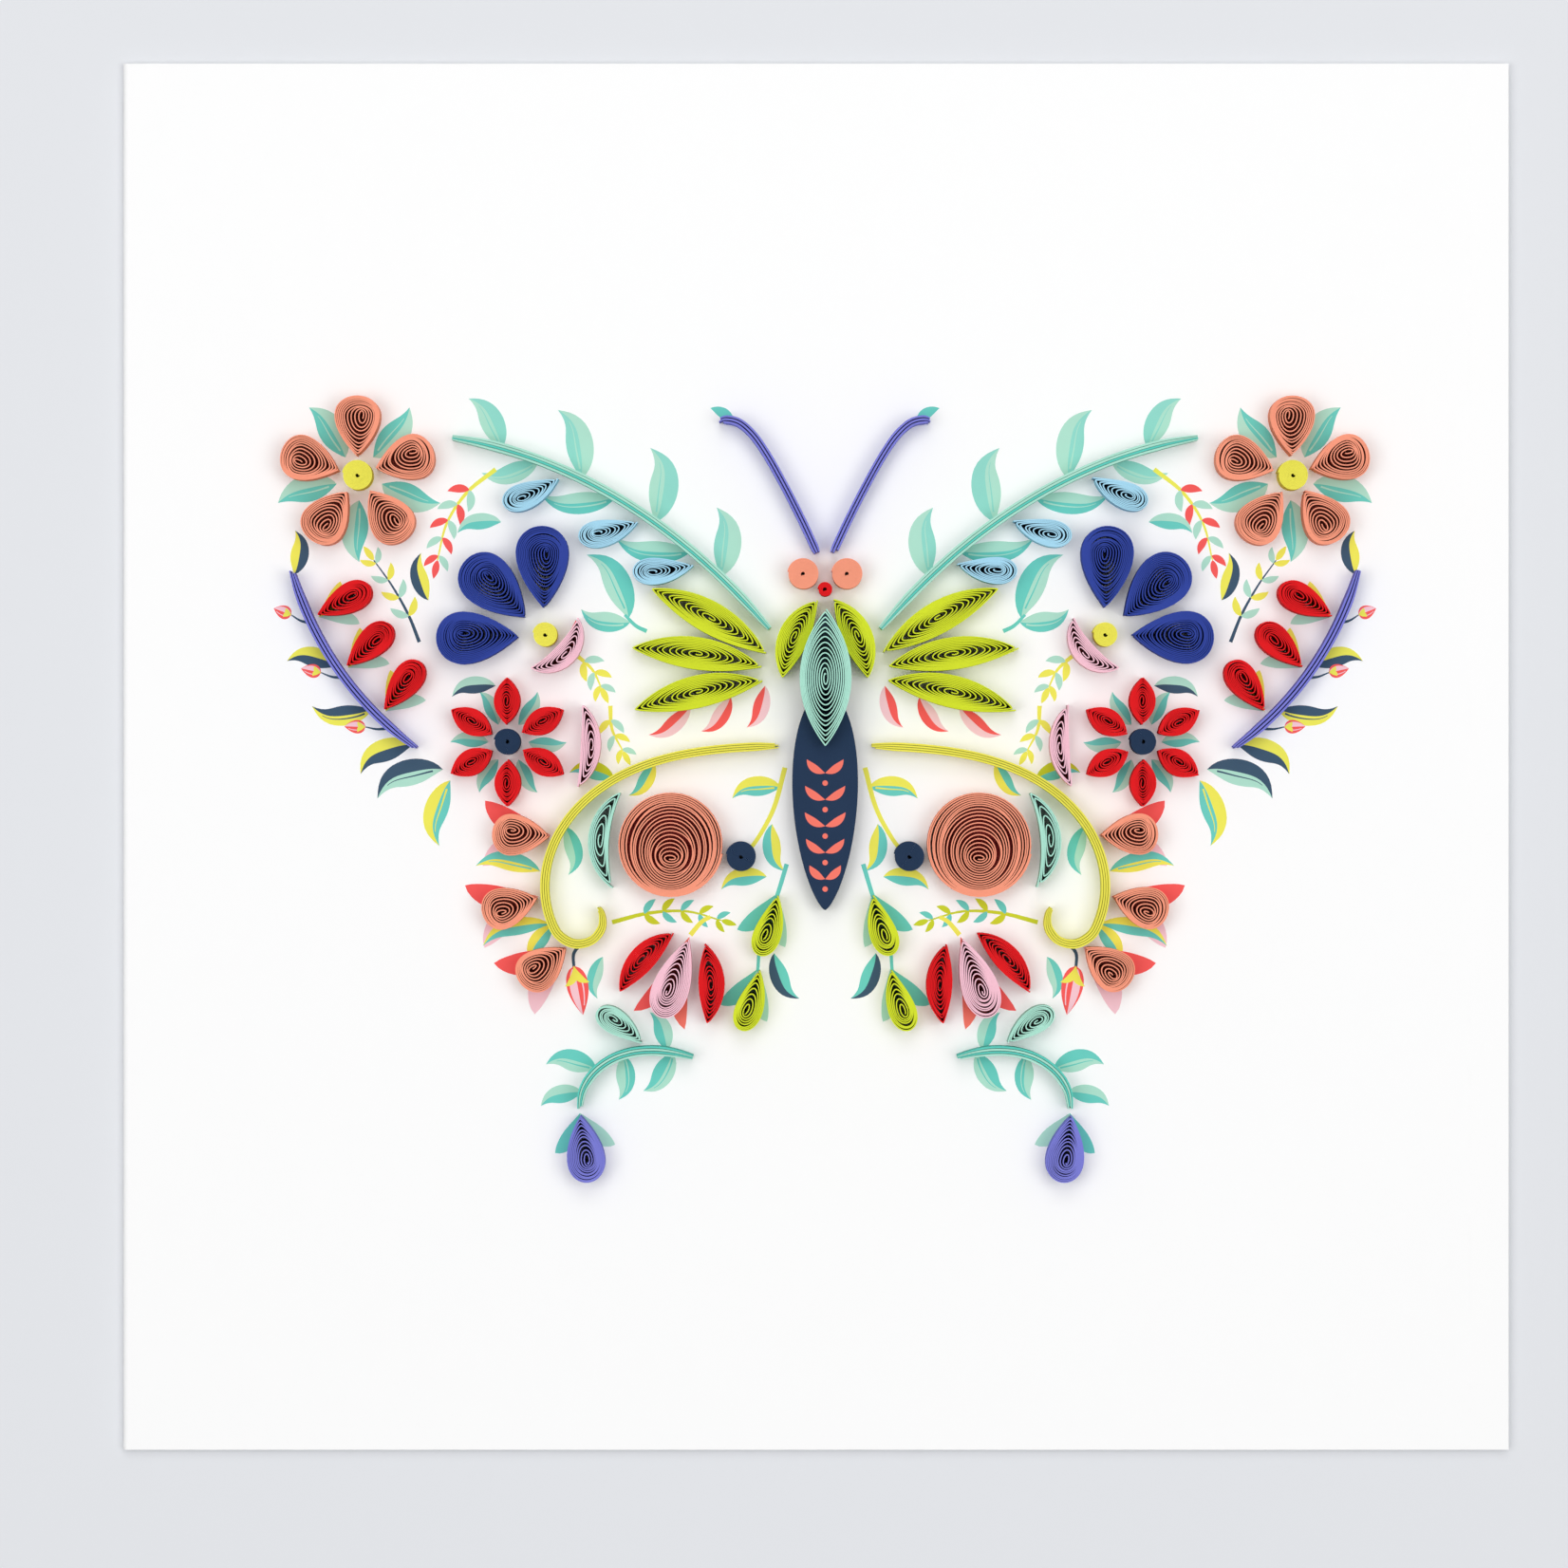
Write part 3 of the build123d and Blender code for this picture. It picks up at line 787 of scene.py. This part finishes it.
# %% Inks
INKS = {
    "mint": (178, 227, 208),
    "seafoam": (148, 219, 205),
    "teal": (110, 208, 196),
    "navy": (66, 90, 112),
    "yellow": (242, 237, 94),
    "lime": (204, 214, 52),
    "red": (250, 96, 94),
    "coral": (249, 124, 108),
    "pink": (250, 204, 214),
}
PRINTED = {"depth": 0.1, "clouds": 1.2, "fibres": 0.25, "edge": 0, "tooth": 0.08}
ink_looks = {ink: paper(ink + "_ink_look", linear(*rgb), **PRINTED) for ink, rgb in INKS.items()}
print(len(INKS), "inks")

# %% [markdown]
# ## The shape of a leaf
#
# A printed leaf is the formula of the coils again, laid along a spine that can bow and flick its
# tip. Points are given in millimetres from the middle of the card.

# %% Leaves and directions
BLADE_POINTS = 17


def toward(point, angle, distance):
    """The point at a distance from another, in a direction in degrees."""
    return np.array(point, float) + distance * np.array([cos(radians(angle)), sin(radians(angle))])


def direction(start, finish):
    """Direction in degrees from one point to another."""
    return degrees(atan2(finish[1] - start[1], finish[0] - start[0]))


def at_share(line, share):
    """The point at a share of a line's length."""
    place = walked(line) / walked(line)[-1]
    return np.array([np.interp(share, place, line[:, k]) for k in (0, 1)])


def blade(base, tip, width, form=MARQUISE, bow=0.0, flick=0.0):
    """Left edge, spine and right edge of a leaf or petal. Bow bends it to the left, and flick
    turns its tip the other way."""
    base, tip = np.array(base, float), np.array(tip, float)
    along = tip - base
    across = np.array([-along[1], along[0]])
    share = np.linspace(0, 1, BLADE_POINTS)
    sway = 4 * bow * share * (1 - share) + flick * np.sin(2 * pi * share) * share
    spine = base + np.outer(share, along) + np.outer(sway, across)
    heading = along + np.outer(np.gradient(sway, share), across)
    normal = np.stack([-heading[:, 1], heading[:, 0]], 1) / np.hypot(*heading.T)[:, None]
    half = normal * (profile(form, share) * width / 2)[:, None]
    return spine + half, spine, spine - half


print("a leaf's outline has", 2 * BLADE_POINTS - 2, "points")

# %% [markdown]
# ## A printed sheet
#
# Everything is drawn once on the right side and mirrored. A leaf is two fields that meet at its
# midrib, one in each tone. Faces at one level would flicker where fields overlap, so each field
# lies a few thousandths of a millimetre above the earlier ones that it may touch.

# %% Printed sheet
INK_DEPTH = 0.01
INK_STEP = 0.004
LEAF, PETAL = (0.9, 1.1), (1, 0.8)
BROAD_LEAF = 2.0
VEIN_WIDTH = 0.2
SEPAL_SWING = 34


class PrintedSheet:
    """Fields of ink on a sheet at one level."""

    def __init__(self, level):
        self.level = level
        self.fields = {}
        self.steps = []

    def field(self, ink, outline):
        """One field, mirrored if it lies right of the axis."""
        if signed_area(outline) < 0:
            outline = outline[::-1]
        low, high = outline.min(0), outline.max(0)
        under = [step for step, near, far in self.steps if (low < far).all() and (near < high).all()]
        step = 1 + max(under, default=-1)
        self.steps.append((step, low, high))
        stock = self.fields.setdefault(ink, Stock())
        mirrored = (outline * (-1, 1) + (2 * axis, 0))[::-1]
        for side in (outline, mirrored) if low[0] > axis - NEAR else (outline,):
            stock.slab(side, self.level - INK_DEPTH, self.level + INK_DEPTH + INK_STEP * step)

    def petal(self, ink, base, tip, width, form=PETAL, bow=0.0):
        """One field in the form of a petal."""
        left, spine, right = blade(base, tip, width, form, bow)
        self.field(ink, np.vstack([left, right[-2:0:-1]]))

    def leaf(self, inks, base, tip, width, bow):
        """A leaf in two inks, left and right of its midrib. A broad one has a vein."""
        left_ink, right_ink = inks.split()
        left, spine, right = blade(base, tip, width, LEAF, bow, flick=-0.35 * bow)
        self.field(left_ink, np.vstack([left, spine[-2:0:-1]]))
        self.field(right_ink, np.vstack([spine, right[-2:0:-1]]))
        if width > BROAD_LEAF:
            vein = "navy" if "navy" in inks else left_ink
            self.stalk(vein, (spine * 0.68 + right * 0.32)[2:-3], VEIN_WIDTH)

    def stalk(self, ink, points, width, thin=0.3):
        """A thin curved line through points, which narrows to a share of its width."""
        line = smooth(np.array(points, float), 6)
        place = walked(line) / walked(line)[-1]
        left, right = edges(line, width * (1 - (1 - thin) * place))
        self.field(ink, np.vstack([left, right[::-1]]))
        return line

    def bud(self, base, tip, width):
        """A closed bud: a red petal, a pink one that shows in it, and two sepals at its foot."""
        base, tip = np.array(base, float), np.array(tip, float)
        self.petal("red", base, tip, width, (0.6, 1.0))
        left, spine, right = blade(base, tip, width * 0.9, (0.8, 1.0))
        self.field("pink", np.vstack([spine[1:], (left * 0.8 + spine * 0.2)[-2:0:-1]]))
        self.stalk("pink", (spine * 0.45 + right * 0.55)[3:-3], width * 0.08, 0.6)
        for side in (1, -1):
            sepal = toward(base, direction(base, tip) + side * SEPAL_SWING, hypot(*(tip - base)) * 0.45)
            self.petal("yellow", base, sepal, width * 0.34, MARQUISE, bow=-0.2 * side)

    def pieces(self, name):
        """Makes one piece for each ink, with the slot of the paper that is most like it."""
        for ink, stock in self.fields.items():
            like = "mint" if ink == "seafoam" else ink
            make_piece(f"{name}_{ink}_ink", stock, like + "_paper", look=ink_looks[ink])
        print(len(self.steps), "fields of", *self.fields)


front = PrintedSheet(card_high[2])
print("the card is printed at", round(front.level, 2), "mm")

# %% [markdown]
# ## Leaves that belong to a stem
#
# Most printed leaves grow from a quilled stem. They are placed along it, so a leaf stays on its stem
# if the model changes. A share says how far along the stem it starts, and a swing how far it turns
# off it, to the left where it is positive.

# %% Print beside stems
STEM_LEAVES = {
    "leading_stem": [
        # share, swing, reach, width, inks left and right of its midrib, bow
        (0.2, 44, 7.6, 3.0, "mint seafoam", 0.14),
        (0.42, 52, 8.2, 3.2, "seafoam mint", 0.16),
        (0.64, 46, 8.0, 3.0, "mint seafoam", 0.14),
        (0.86, 42, 6.6, 2.6, "seafoam mint", 0.12),
        (0.3, -30, 8.4, 2.4, "mint teal", -0.1),
        (0.54, -28, 8.2, 2.4, "mint teal", -0.1),
        (0.76, -32, 6.4, 2.2, "seafoam mint", -0.12),
    ],
    "margin_stem": [
        (0.04, -66, 6.6, 2.5, "yellow navy", 0.16),
        (0.28, -44, 6.6, 2.2, "navy yellow", -0.14),
        (0.52, -50, 5.6, 2.2, "yellow navy", 0.14),
        (0.97, 18, 4.8, 2.0, "navy yellow", 0.12),
    ],
    "vine": [
        (0.3, -34, 4.6, 1.7, "teal yellow", -0.12),
        (0.56, -36, 5.4, 1.9, "mint teal", -0.16),
        (0.4, 40, 5.0, 2.0, "lime teal", 0.14),
        (0.8, 58, 4.8, 1.9, "yellow teal", 0.14),
    ],
    "tail_stem": [
        (0.16, -62, 5.4, 2.3, "teal mint", -0.12),
        (0.2, 60, 4.6, 2.0, "mint teal", 0.12),
        (0.5, -66, 5.0, 2.1, "mint teal", -0.12),
        (0.7, 52, 5.6, 2.4, "teal mint", 0.14),
        (0.88, 60, 4.8, 2.0, "mint teal", 0.12),
    ],
}
MARGIN_BUDS = ((0.16, -40, 5.2), (0.46, -42, 5.0), (0.74, -44, 4.6))
BUD_FOOT = 0.55


def off_stem(part, share, swing, reach):
    """Base and tip of a leaf that leaves a stem of the right wing."""
    line = stem_lines["right_" + part]
    base = at_share(line, share)
    return base, toward(base, direction(base, at_share(line, share + 0.02)) + swing, reach)


for part, leaves in STEM_LEAVES.items():
    for share, swing, reach, width, inks, bow in leaves:
        front.leaf(inks, *off_stem(part, share, swing, reach), width, bow)

for share, swing, reach in MARGIN_BUDS:
    base, foot = off_stem("margin_stem", share, swing, reach * BUD_FOOT)
    front.stalk("navy", [base, (base + foot) / 2 + (0.1, -0.2), foot], 0.4)
    base, tip = off_stem("margin_stem", share, swing, reach)
    front.bud(foot, tip, 1.5)
print(sum(map(len, STEM_LEAVES.values())), "leaves and", len(MARGIN_BUDS), "buds beside stems")

# %% [markdown]
# ## Print round the coils, and painted shade under them
#
# Flowers have printed leaves that show between their petals, and drops a pair of printed petals behind
# them. Some coils also stand on a field of ink, which is painted shade at the bottom of their gaps, where
# white card would otherwise shine through the windings.

# %% Print round coils, and painted shade under them
BEHIND = {
    # part: swings, length, width and inks of the petals behind each coil
    "margin_petals": ((26, -26), 8.2, 2.6, "red pink"),
    "tulip_heart": ((17, -17), 10.2, 2.2, "red coral"),
    "margin_drops": ((38, -30), 4.6, 1.5, "mint yellow"),
    "inner_drops": ((30, -26), 6.0, 2.0, "teal mint"),
    "tail_drop": ((40, -40), 5.2, 1.9, "teal mint"),
}
UNDER = {
    # part: ink of the painted shade under its gaps
    "blossom": "coral", "margin_petals": "coral", "eyespot": "red", "fan_cup": "red",
    "star_moon": "red", "tulip_heart": "red", "laurel": "navy",
}
UNDER_SHARE = 0.9


def between_petals(petals, heart, near, far, width):
    """A leaf in each gap between the petals that stand round a heart."""
    low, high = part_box("right_" + heart)
    centre = np.array([low.x + high.x, low.y + high.y]) / 2 / MM
    angles = sorted(direction(centre, outline.mean(0)) for outline in outlines("right_" + petals))
    for first, second in zip(angles, angles[1:] + [angles[0] + 360]):
        angle = (first + second) / 2
        front.leaf("mint teal", toward(centre, angle, near), toward(centre, angle, far), width, 0.08)


between_petals("blossom", "blossom_heart", 2.6, 9.4, 3.0)
between_petals("star", "star_heart", 2.2, 6.4, 1.7)
for part, (swings, length, width, inks) in BEHIND.items():
    for outline in outlines("right_" + part):
        coil = measure(outline, TEARDROP)
        for swing, ink in zip(swings, inks.split()):
            tip = toward(coil.start, degrees(coil.heading) + swing, length)
            front.petal(ink, coil.start, tip, width, PETAL, bow=-0.1 * np.sign(swing))
# Fields of ink under coils, as painted shade at the bottom of their gaps.
for part, ink in UNDER.items():
    for outline in outlines("right_" + part):
        centre = outline.mean(0)
        front.field(ink, centre + (outline - centre) * UNDER_SHARE)
print(len(BEHIND), "kinds of coil have print behind them,", len(UNDER), "under them")

# %% [markdown]
# ## Sprigs between the coils
#
# The rest of the wings is filled with sprigs, single leaves and stalks. A sprig is a curved stalk with
# small leaves in pairs. They are placed one by one, because they fill whatever room the coils leave. Last
# come a navy field under the thorax, which makes its gaps dark, and a small leaf on the hook of each
# antenna.

# %% Sprigs
SPRIGS = [
    # points of the stalk, length of a leaf, pairs, inks of the leaves, ink and width of the stalk
    ([(37.2, 31.6), (40.4, 29.0), (42.6, 25.6), (43.6, 21.6)], 2.6, 5, "red mint", "yellow", 0.5),
    ([(24.6, 5.6), (24.4, 3.0), (23.2, 0.6)], 2.2, 3, "yellow mint", "yellow", 0.5),
    ([(24.4, -18.2), (20.4, -17.2), (16.2, -17.0), (12.4, -18.0)], 2.2, 5, "lime teal", "lime", 0.5),
    ([(45.6, 12.6), (46.8, 15.6), (48.6, 18.8), (50.6, 21.6)], 2.4, 4, "yellow mint", "navy", 0.4),
    ([(28.6, 11.4), (26.6, 9.6), (25.6, 7.6)], 2.4, 3, "yellow mint", "yellow", 0.5),
]
PAIRS_FROM, PAIRS_TO = 0.3, 0.96
PAIR_SWING = 42
SPRIG_FORM = (0.8, 1.0)


def sprig(points, leaf_length, count, inks, ink, width):
    """A stalk with pairs of small leaves and one at its end."""
    line = front.stalk(ink, points, width)
    inks = inks.split()
    for k, share in enumerate(np.linspace(PAIRS_FROM, PAIRS_TO, count)):
        base = at_share(line, share)
        angle = direction(at_share(line, share - 0.05), at_share(line, share + 0.05))
        length = leaf_length * (1 - 0.25 * share)
        for side, tone in ((1, inks[k % 2]), (-1, inks[(k + 1) % 2])):
            tip = toward(base, angle + side * PAIR_SWING, length)
            front.petal(tone, base, tip, length * 0.38, SPRIG_FORM, 0.1 * side)
    tip = toward(line[-1], angle, leaf_length * 0.8)
    front.petal(inks[0], line[-1], tip, leaf_length * 0.3, SPRIG_FORM)


for row in SPRIGS:
    sprig(*row)
print(len(SPRIGS), "sprigs")

# %% Single leaves and stalks
SINGLE_LEAVES = [
    # inks, base, tip, width, bow
    ("teal mint", (22.6, 15.2), (27.2, 22.2), 3.0, 0.14),
    ("mint teal", (22.4, 14.8), (27.8, 16.2), 2.2, -0.12),
    ("red pink", (7.6, 7.8), (9.6, 3.2), 1.8, -0.12),
    ("pink red", (11.4, 6.6), (14.6, 2.8), 1.8, -0.12),
    ("red pink", (15.8, 5.6), (20.4, 2.4), 1.8, -0.12),
    ("yellow teal", (5.8, -3.4), (11.2, -4.6), 2.2, 0.14),
    ("teal yellow", (6.8, -7.4), (5.4, -12.6), 2.0, 0.14),
    ("navy mint", (43.0, -1.4), (50.2, -4.6), 2.9, 0.16),
    ("yellow teal", (42.2, -2.6), (43.4, -9.8), 2.6, 0.14),
    ("teal yellow", (32.3, -12.6), (39.4, -12.0), 2.1, 0.12),
    ("yellow teal", (31.3, -18.4), (38.6, -20.8), 1.9, 0.12),
    ("yellow teal", (7.4, -13.2), (12.4, -14.6), 2.0, 0.14),
    ("teal mint", (25.4, -22.0), (26.0, -26.6), 1.6, 0.14),
    ("mint teal", (36.6, 25.8), (41.4, 24.6), 1.8, 0.14),
    ("yellow navy", (44.6, 17.2), (45.4, 22.4), 1.9, -0.12),
    ("navy teal", (6.6, -21.6), (3.8, -26.6), 2.0, 0.14),
    ("mint navy", (37.2, 7.8), (42.0, 6.6), 1.9, 0.14),
]
STALKS = [
    # ink, points, width, share of it that is left at the end
    ("yellow", [(5.4, -1.2), (6.6, -5.6), (8.4, -9.0), (10.0, -11.0)], 0.55, 0.8),
    ("teal", [(5.2, -11.8), (6.3, -15.4), (8.0, -20.0), (8.4, -23.6)], 0.5, 0.7),
    ("teal", [(20.6, 13.8), (21.8, 14.4), (23.0, 15.6)], 0.45, 0.7),
    ("yellow", [(15.8, -19.6), (14.6, -18.2), (13.6, -17.6)], 0.55, 0.8),
    ("navy", [(27.6, -20.4), (28.6, -21.6), (28.6, -23.2)], 0.4, 0.8),
]
for row in SINGLE_LEAVES:
    front.leaf(*row)
for row in STALKS:
    front.stalk(*row)
front.bud((28.6, -23.0), (27.6, -28.4), 2.4)
front.petal("navy", (axis, 1.6), (axis, 16.0), 5.0, MARQUISE)
hook = stem_lines["right_antenna"][-1]
front.petal("teal", hook + (-1.6, 0.1), hook + (0.9, 1.7), 1.2, SPRIG_FORM, 0.1)
front.pieces("card_print_and_shade")

# %% [markdown]
# The abdomen's cover carries a small print of its own: chevrons with a dot under each.

# %% Print on the abdomen
CHEVRON_RISES = (3.4, 6.3, 9.2, 12.1, 15.0)
CHEVRON_SHARE = 0.62
DOT_RADIUS = 0.3
cover_print = PrintedSheet(heights("abdomen_cap")[1])
angle = np.linspace(0, 2 * pi, 16, endpoint=False)
dot = DOT_RADIUS * np.stack([np.cos(angle), np.sin(angle)], 1)
for rise in CHEVRON_RISES:
    middle = abdomen.start + (0, rise)
    reach = CHEVRON_SHARE * profile((0.5, 0.7), rise / abdomen.length) * abdomen.width / 2
    cover_print.petal("coral", middle, middle + (reach, 1.5), 0.85, MARQUISE, bow=-0.12)
    cover_print.field("coral", middle - (0, 1.1) + dot)
cover_print.pieces("abdomen_print")

# %% [markdown]
# ## Table and backdrop
#
# The card lies on a plain pale table. A small one would show its edge in a low view, and a large one
# would turn grey far away, where no lamp reaches. So it fades into the flat pale tone of the room
# behind it. Light Path's outputs keep that tone to what the camera, gloss and glass see, so that it
# never lights the card. Sizes are in metres from here on.

# %% Table
TABLE_HALF, TABLE_DROP = 0.9, 0.00002
BACKDROP = linear(228, 229, 232)
FADE_FROM, FADE_TO = 0.24, 0.8


def seen(shade):
    """1 for what the camera, gloss and glass see, and 0 for the light on the object."""
    kinds = ("Is Camera Ray", "Is Glossy Ray", "Is Transmission Ray")
    camera, gloss, glass = [shade.node("LightPath", {}, {}, kind) for kind in kinds]
    both = camera + gloss
    return shade.node("Math", {"operation": "ADD", "use_clamp": True}, {0: both, 1: glass})


around = ((-1, -1), (1, -1), (1, 1), (-1, 1))
table_mesh = bpy.data.meshes.new("table")
table_corners = [(x * TABLE_HALF, y * TABLE_HALF, -TABLE_DROP) for x, y in around]
table_mesh.from_pydata(table_corners, [], [(0, 1, 2, 3)])
table = placed("table", table_mesh)
table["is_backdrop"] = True

table_look = paper("table_look", linear(226, 228, 232), depth=0.02, tooth=0.05)
table_mesh.materials.append(table_look)
shade = Shade(table_look.node_tree)
place = shade.node("TexCoord", {}, {}, "Object")
distance = shade.node("VectorMath", {"operation": "LENGTH"}, {0: place}, "Value")
far = shade.node(
    "MapRange", {"interpolation_type": "SMOOTHSTEP"},
    {"Value": distance, "From Min": FADE_FROM, "From Max": FADE_TO},
)
lit = Shade(shade.tree, shade.tree.nodes["Principled BSDF"].outputs[0])
flat = shade.node("Emission", {}, {"Color": BACKDROP})
faded = shade.node("MixShader", {}, {0: far * seen(shade), 1: lit, 2: flat})
shade.tree.links.new(faded.socket, shade.tree.nodes["Material Output"].inputs["Surface"])
print("the table fades", FADE_FROM, "to", FADE_TO, "m away")

# %% [markdown]
# ## Lamps and room
#
# Paper that stands on edge is read by its shadows. One small lamp would throw long hard ones. Three
# broad lamps, left, right and beyond the card, give every strip a soft shadow that is deepest on its
# near side, and a dim white room fills the gaps between windings.

# %% Lamps and room
LAMP_SIZE = 0.5
LAMPS = {
    # name: place, watts
    "left_lamp": ((-0.36, -0.02, 0.8), 2.28),
    "right_lamp": ((0.36, -0.02, 0.8), 2.28),
    "far_lamp": ((0.0, 0.44, 0.8), 1.75),
}
ROOM_STRENGTH = 0.36
for name, (place, watts) in LAMPS.items():
    light = bpy.data.lights.new(name, "AREA")
    light.shape = "SQUARE"
    light.size = LAMP_SIZE
    light.energy = watts
    lamp = placed(name, light)
    lamp.location = place
    lamp.rotation_euler = (-lamp.location).to_track_quat("-Z", "Y").to_euler()
    lamp.visible_camera = False

world = bpy.data.worlds.new("pale_room")
bpy.context.scene.world = world
world.use_nodes = True
world.node_tree.nodes.clear()
room = Shade(world.node_tree)
light = room.node("Background", {}, {"Color": (1, 1, 1, 1), "Strength": ROOM_STRENGTH})
view = room.node("Background", {}, {"Color": BACKDROP})
both = room.node("MixShader", {}, {0: seen(room), 1: light, 2: view})
room.node("OutputWorld", {}, {"Surface": both})
print(len(LAMPS), "lamps of", LAMP_SIZE, "m")

# %% [markdown]
# ## Camera
#
# The card is seen from straight above, from so far that the strips' walls hardly show. The lens is
# worked out from the camera's height and the width of the view.

# %% Camera
CAMERA_HEIGHT = 0.62
VIEW_WIDTH = 0.1724
VIEW_CENTRE = (-0.0035, -0.003)
camera_data = bpy.data.cameras.new("camera")
camera = placed("camera", camera_data)
camera.location = (*VIEW_CENTRE, CAMERA_HEIGHT + card_high[2] * MM)
camera_data.lens = camera_data.sensor_width * CAMERA_HEIGHT / VIEW_WIDTH
camera_data.clip_start, camera_data.clip_end = 0.01, 10
bpy.context.scene.camera = camera
bpy.context.scene.view_settings.view_transform = "Standard"
print("camera", CAMERA_HEIGHT, "m above the card, lens", round(camera_data.lens), "mm")

# %% [markdown]
# ## Measure and finish
#
# The triangles of every shown piece are counted.

# %% Finish
triangles = {}
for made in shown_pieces():
    made.data.calc_loop_triangles()
    triangles[made.name] = len(made.data.loop_triangles)
print(len(triangles), "pieces,", sum(triangles.values()), "triangles, most", max(triangles.values()))
